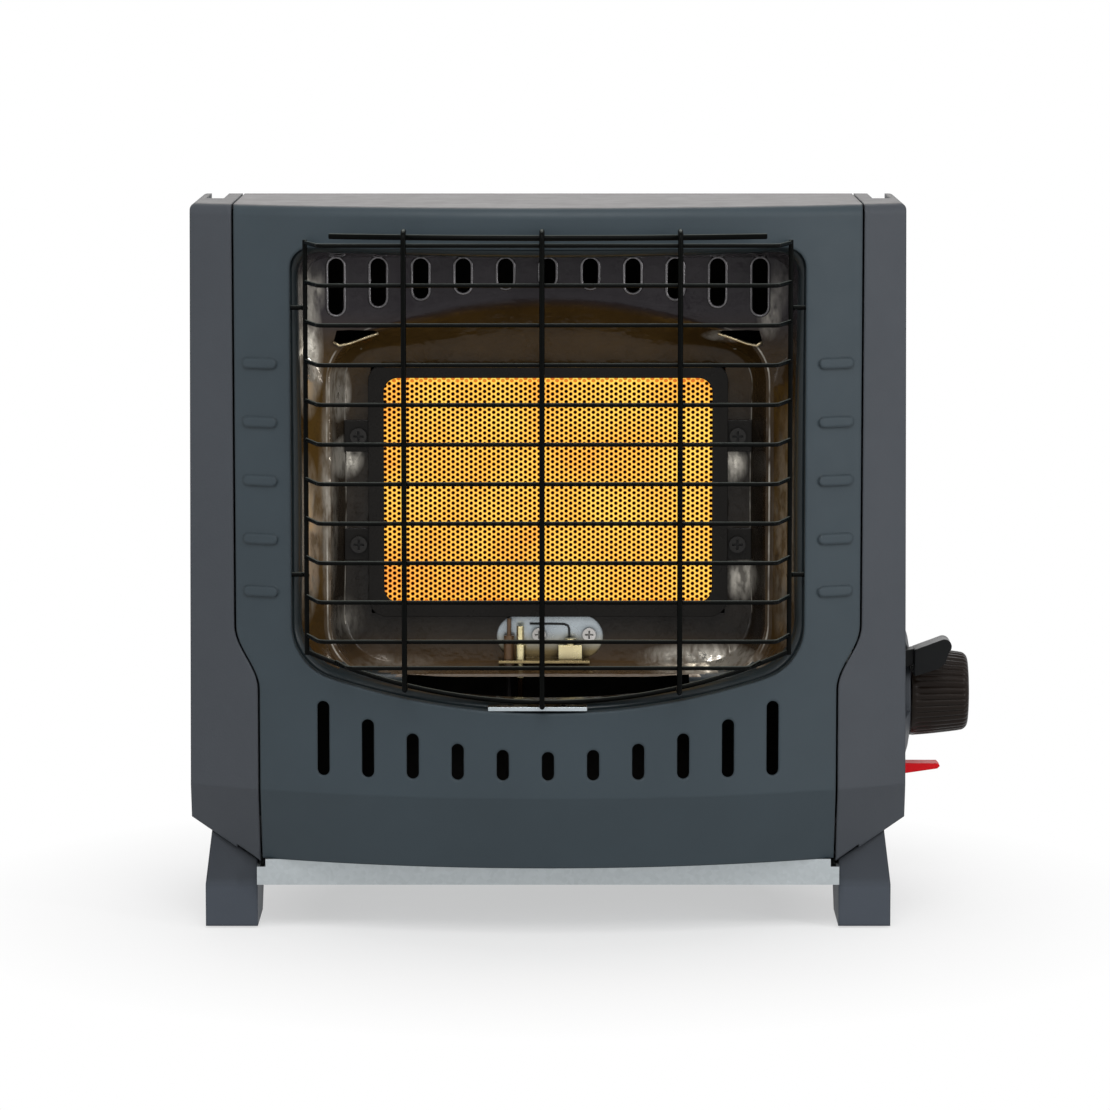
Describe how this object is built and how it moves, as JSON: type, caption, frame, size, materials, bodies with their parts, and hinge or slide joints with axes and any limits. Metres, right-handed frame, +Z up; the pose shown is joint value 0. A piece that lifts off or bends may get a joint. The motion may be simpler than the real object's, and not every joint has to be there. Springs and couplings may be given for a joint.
{
  "type": "butane heater",
  "caption": "Tabletop butane heater with a bowed casing, a glowing ceramic plaque behind a wire guard, side controls and a rear cartridge bay under a drop-down lid.",
  "frame": {"origin": "on the floor, at the middle of the body's width and of the whole depth", "axes": "+X to the right of the front, where the controls are; +Y to the back; +Z up"},
  "size_m": [0.3053, 0.1909, 0.279],
  "materials": {
    "casing_paint": "satin",
    "panel_plastic": "satin",
    "foot_plastic": "satin",
    "rear_paint": "satin",
    "lid_plastic": "satin",
    "galvanised": "spangled",
    "rubber": "matte",
    "plated_steel": "bright",
    "handle_steel": "satin",
    "grip_rubber": "matte",
    "guard_enamel": "gloss",
    "reflector_steel": "gloss, heat tinted",
    "burner_black": "satin",
    "glowing_ceramic": "matte, glowing",
    "fibre": "matte",
    "burner_steel": "satin",
    "brass": "satin",
    "copper": "satin",
    "zinc_cast": "cast",
    "knob_plastic": "satin",
    "lever_plastic": "satin",
    "red_plastic": "gloss",
    "igniter_plastic": "satin",
    "lead_sleeve": "matte",
    "electrode_ceramic": "matte",
    "screw_zinc": "bright",
    "screw_black": "satin"
  },
  "bodies": {
    "body": {"front_casing": "casing_paint", "left_side_panel": "panel_plastic", "right_side_panel": "panel_plastic", "base_pan": "galvanised", "left_foot": "foot_plastic", "right_foot": "foot_plastic", "foot_pads": "rubber", "rear_housing": "rear_paint", "lid_hinge_pin": "plated_steel", "guard_bars": "guard_enamel", "guard_uprights": "guard_enamel", "guard_frame": "guard_enamel", "guard_clip": "plated_steel", "reflector": "reflector_steel", "burner_frame": "burner_black", "ceramic_plaque": "glowing_ceramic", "burner_gasket": "fibre", "burner_body": "burner_steel", "venturi_tube": "burner_steel", "gas_jet": "brass", "gas_pipe": "copper", "governor_body": "zinc_cast", "governor_seal": "rubber", "governor_bracket": "plated_steel", "piezo_igniter": "igniter_plastic", "ignition_lead": "lead_sleeve", "electrode": "electrode_ceramic", "thermocouple": "brass", "thermocouple_lead": "copper", "pilot_bracket": "plated_steel", "pilot_burner": "brass", "heat_shield": "galvanised", "rear_screws": "screw_zinc", "burner_screws": "screw_black", "pilot_screws": "screw_zinc"},
    "lid": {"cartridge_lid": "lid_plastic"},
    "handle": {"carry_handle": "handle_steel", "handle_grip": "grip_rubber"},
    "knob": {"control_knob": "knob_plastic", "valve_spindle": "brass"},
    "lock": {"lock_lever": "lever_plastic"},
    "safety": {"safety_lever": "red_plastic"},
    "pusher": {"cartridge_pusher": "galvanised"}
  },
  "joints": [
    {"name": "lid_open", "type": "hinge", "parent": "body", "child": "lid", "pos_m": [0, 0.0915, 0.06], "axis": [-1, 0, 0], "range_deg": [0, 95]},
    {"name": "handle_lift", "type": "hinge", "parent": "body", "child": "handle", "pos_m": [0, -0.013, 0.272], "axis": [1, 0, 0], "range_deg": [0, 95]},
    {"name": "knob_turn", "type": "hinge", "parent": "body", "child": "knob", "pos_m": [0.13, 0.055, 0.077], "axis": [1, 0, 0], "range_deg": [-120, 0]},
    {"name": "lock_release", "type": "hinge", "parent": "body", "child": "lock", "pos_m": [0.1225, 0.055, 0.077], "axis": [1, 0, 0], "range_deg": [0, 40]},
    {"name": "pusher_slide", "type": "slide", "parent": "body", "child": "pusher", "axis": [-1, 0, 0], "range_m": [0, 0.0045]},
    {"name": "safety_turn", "type": "hinge", "parent": "body", "child": "safety", "pos_m": [0.1252, 0.055, 0.077], "axis": [1, 0, 0], "range_deg": [0, 25]}
  ],
  "couplings": [
    {"joint": "lock_release", "follows": "pusher_slide", "rad_per_m": 155.14}
  ]
}
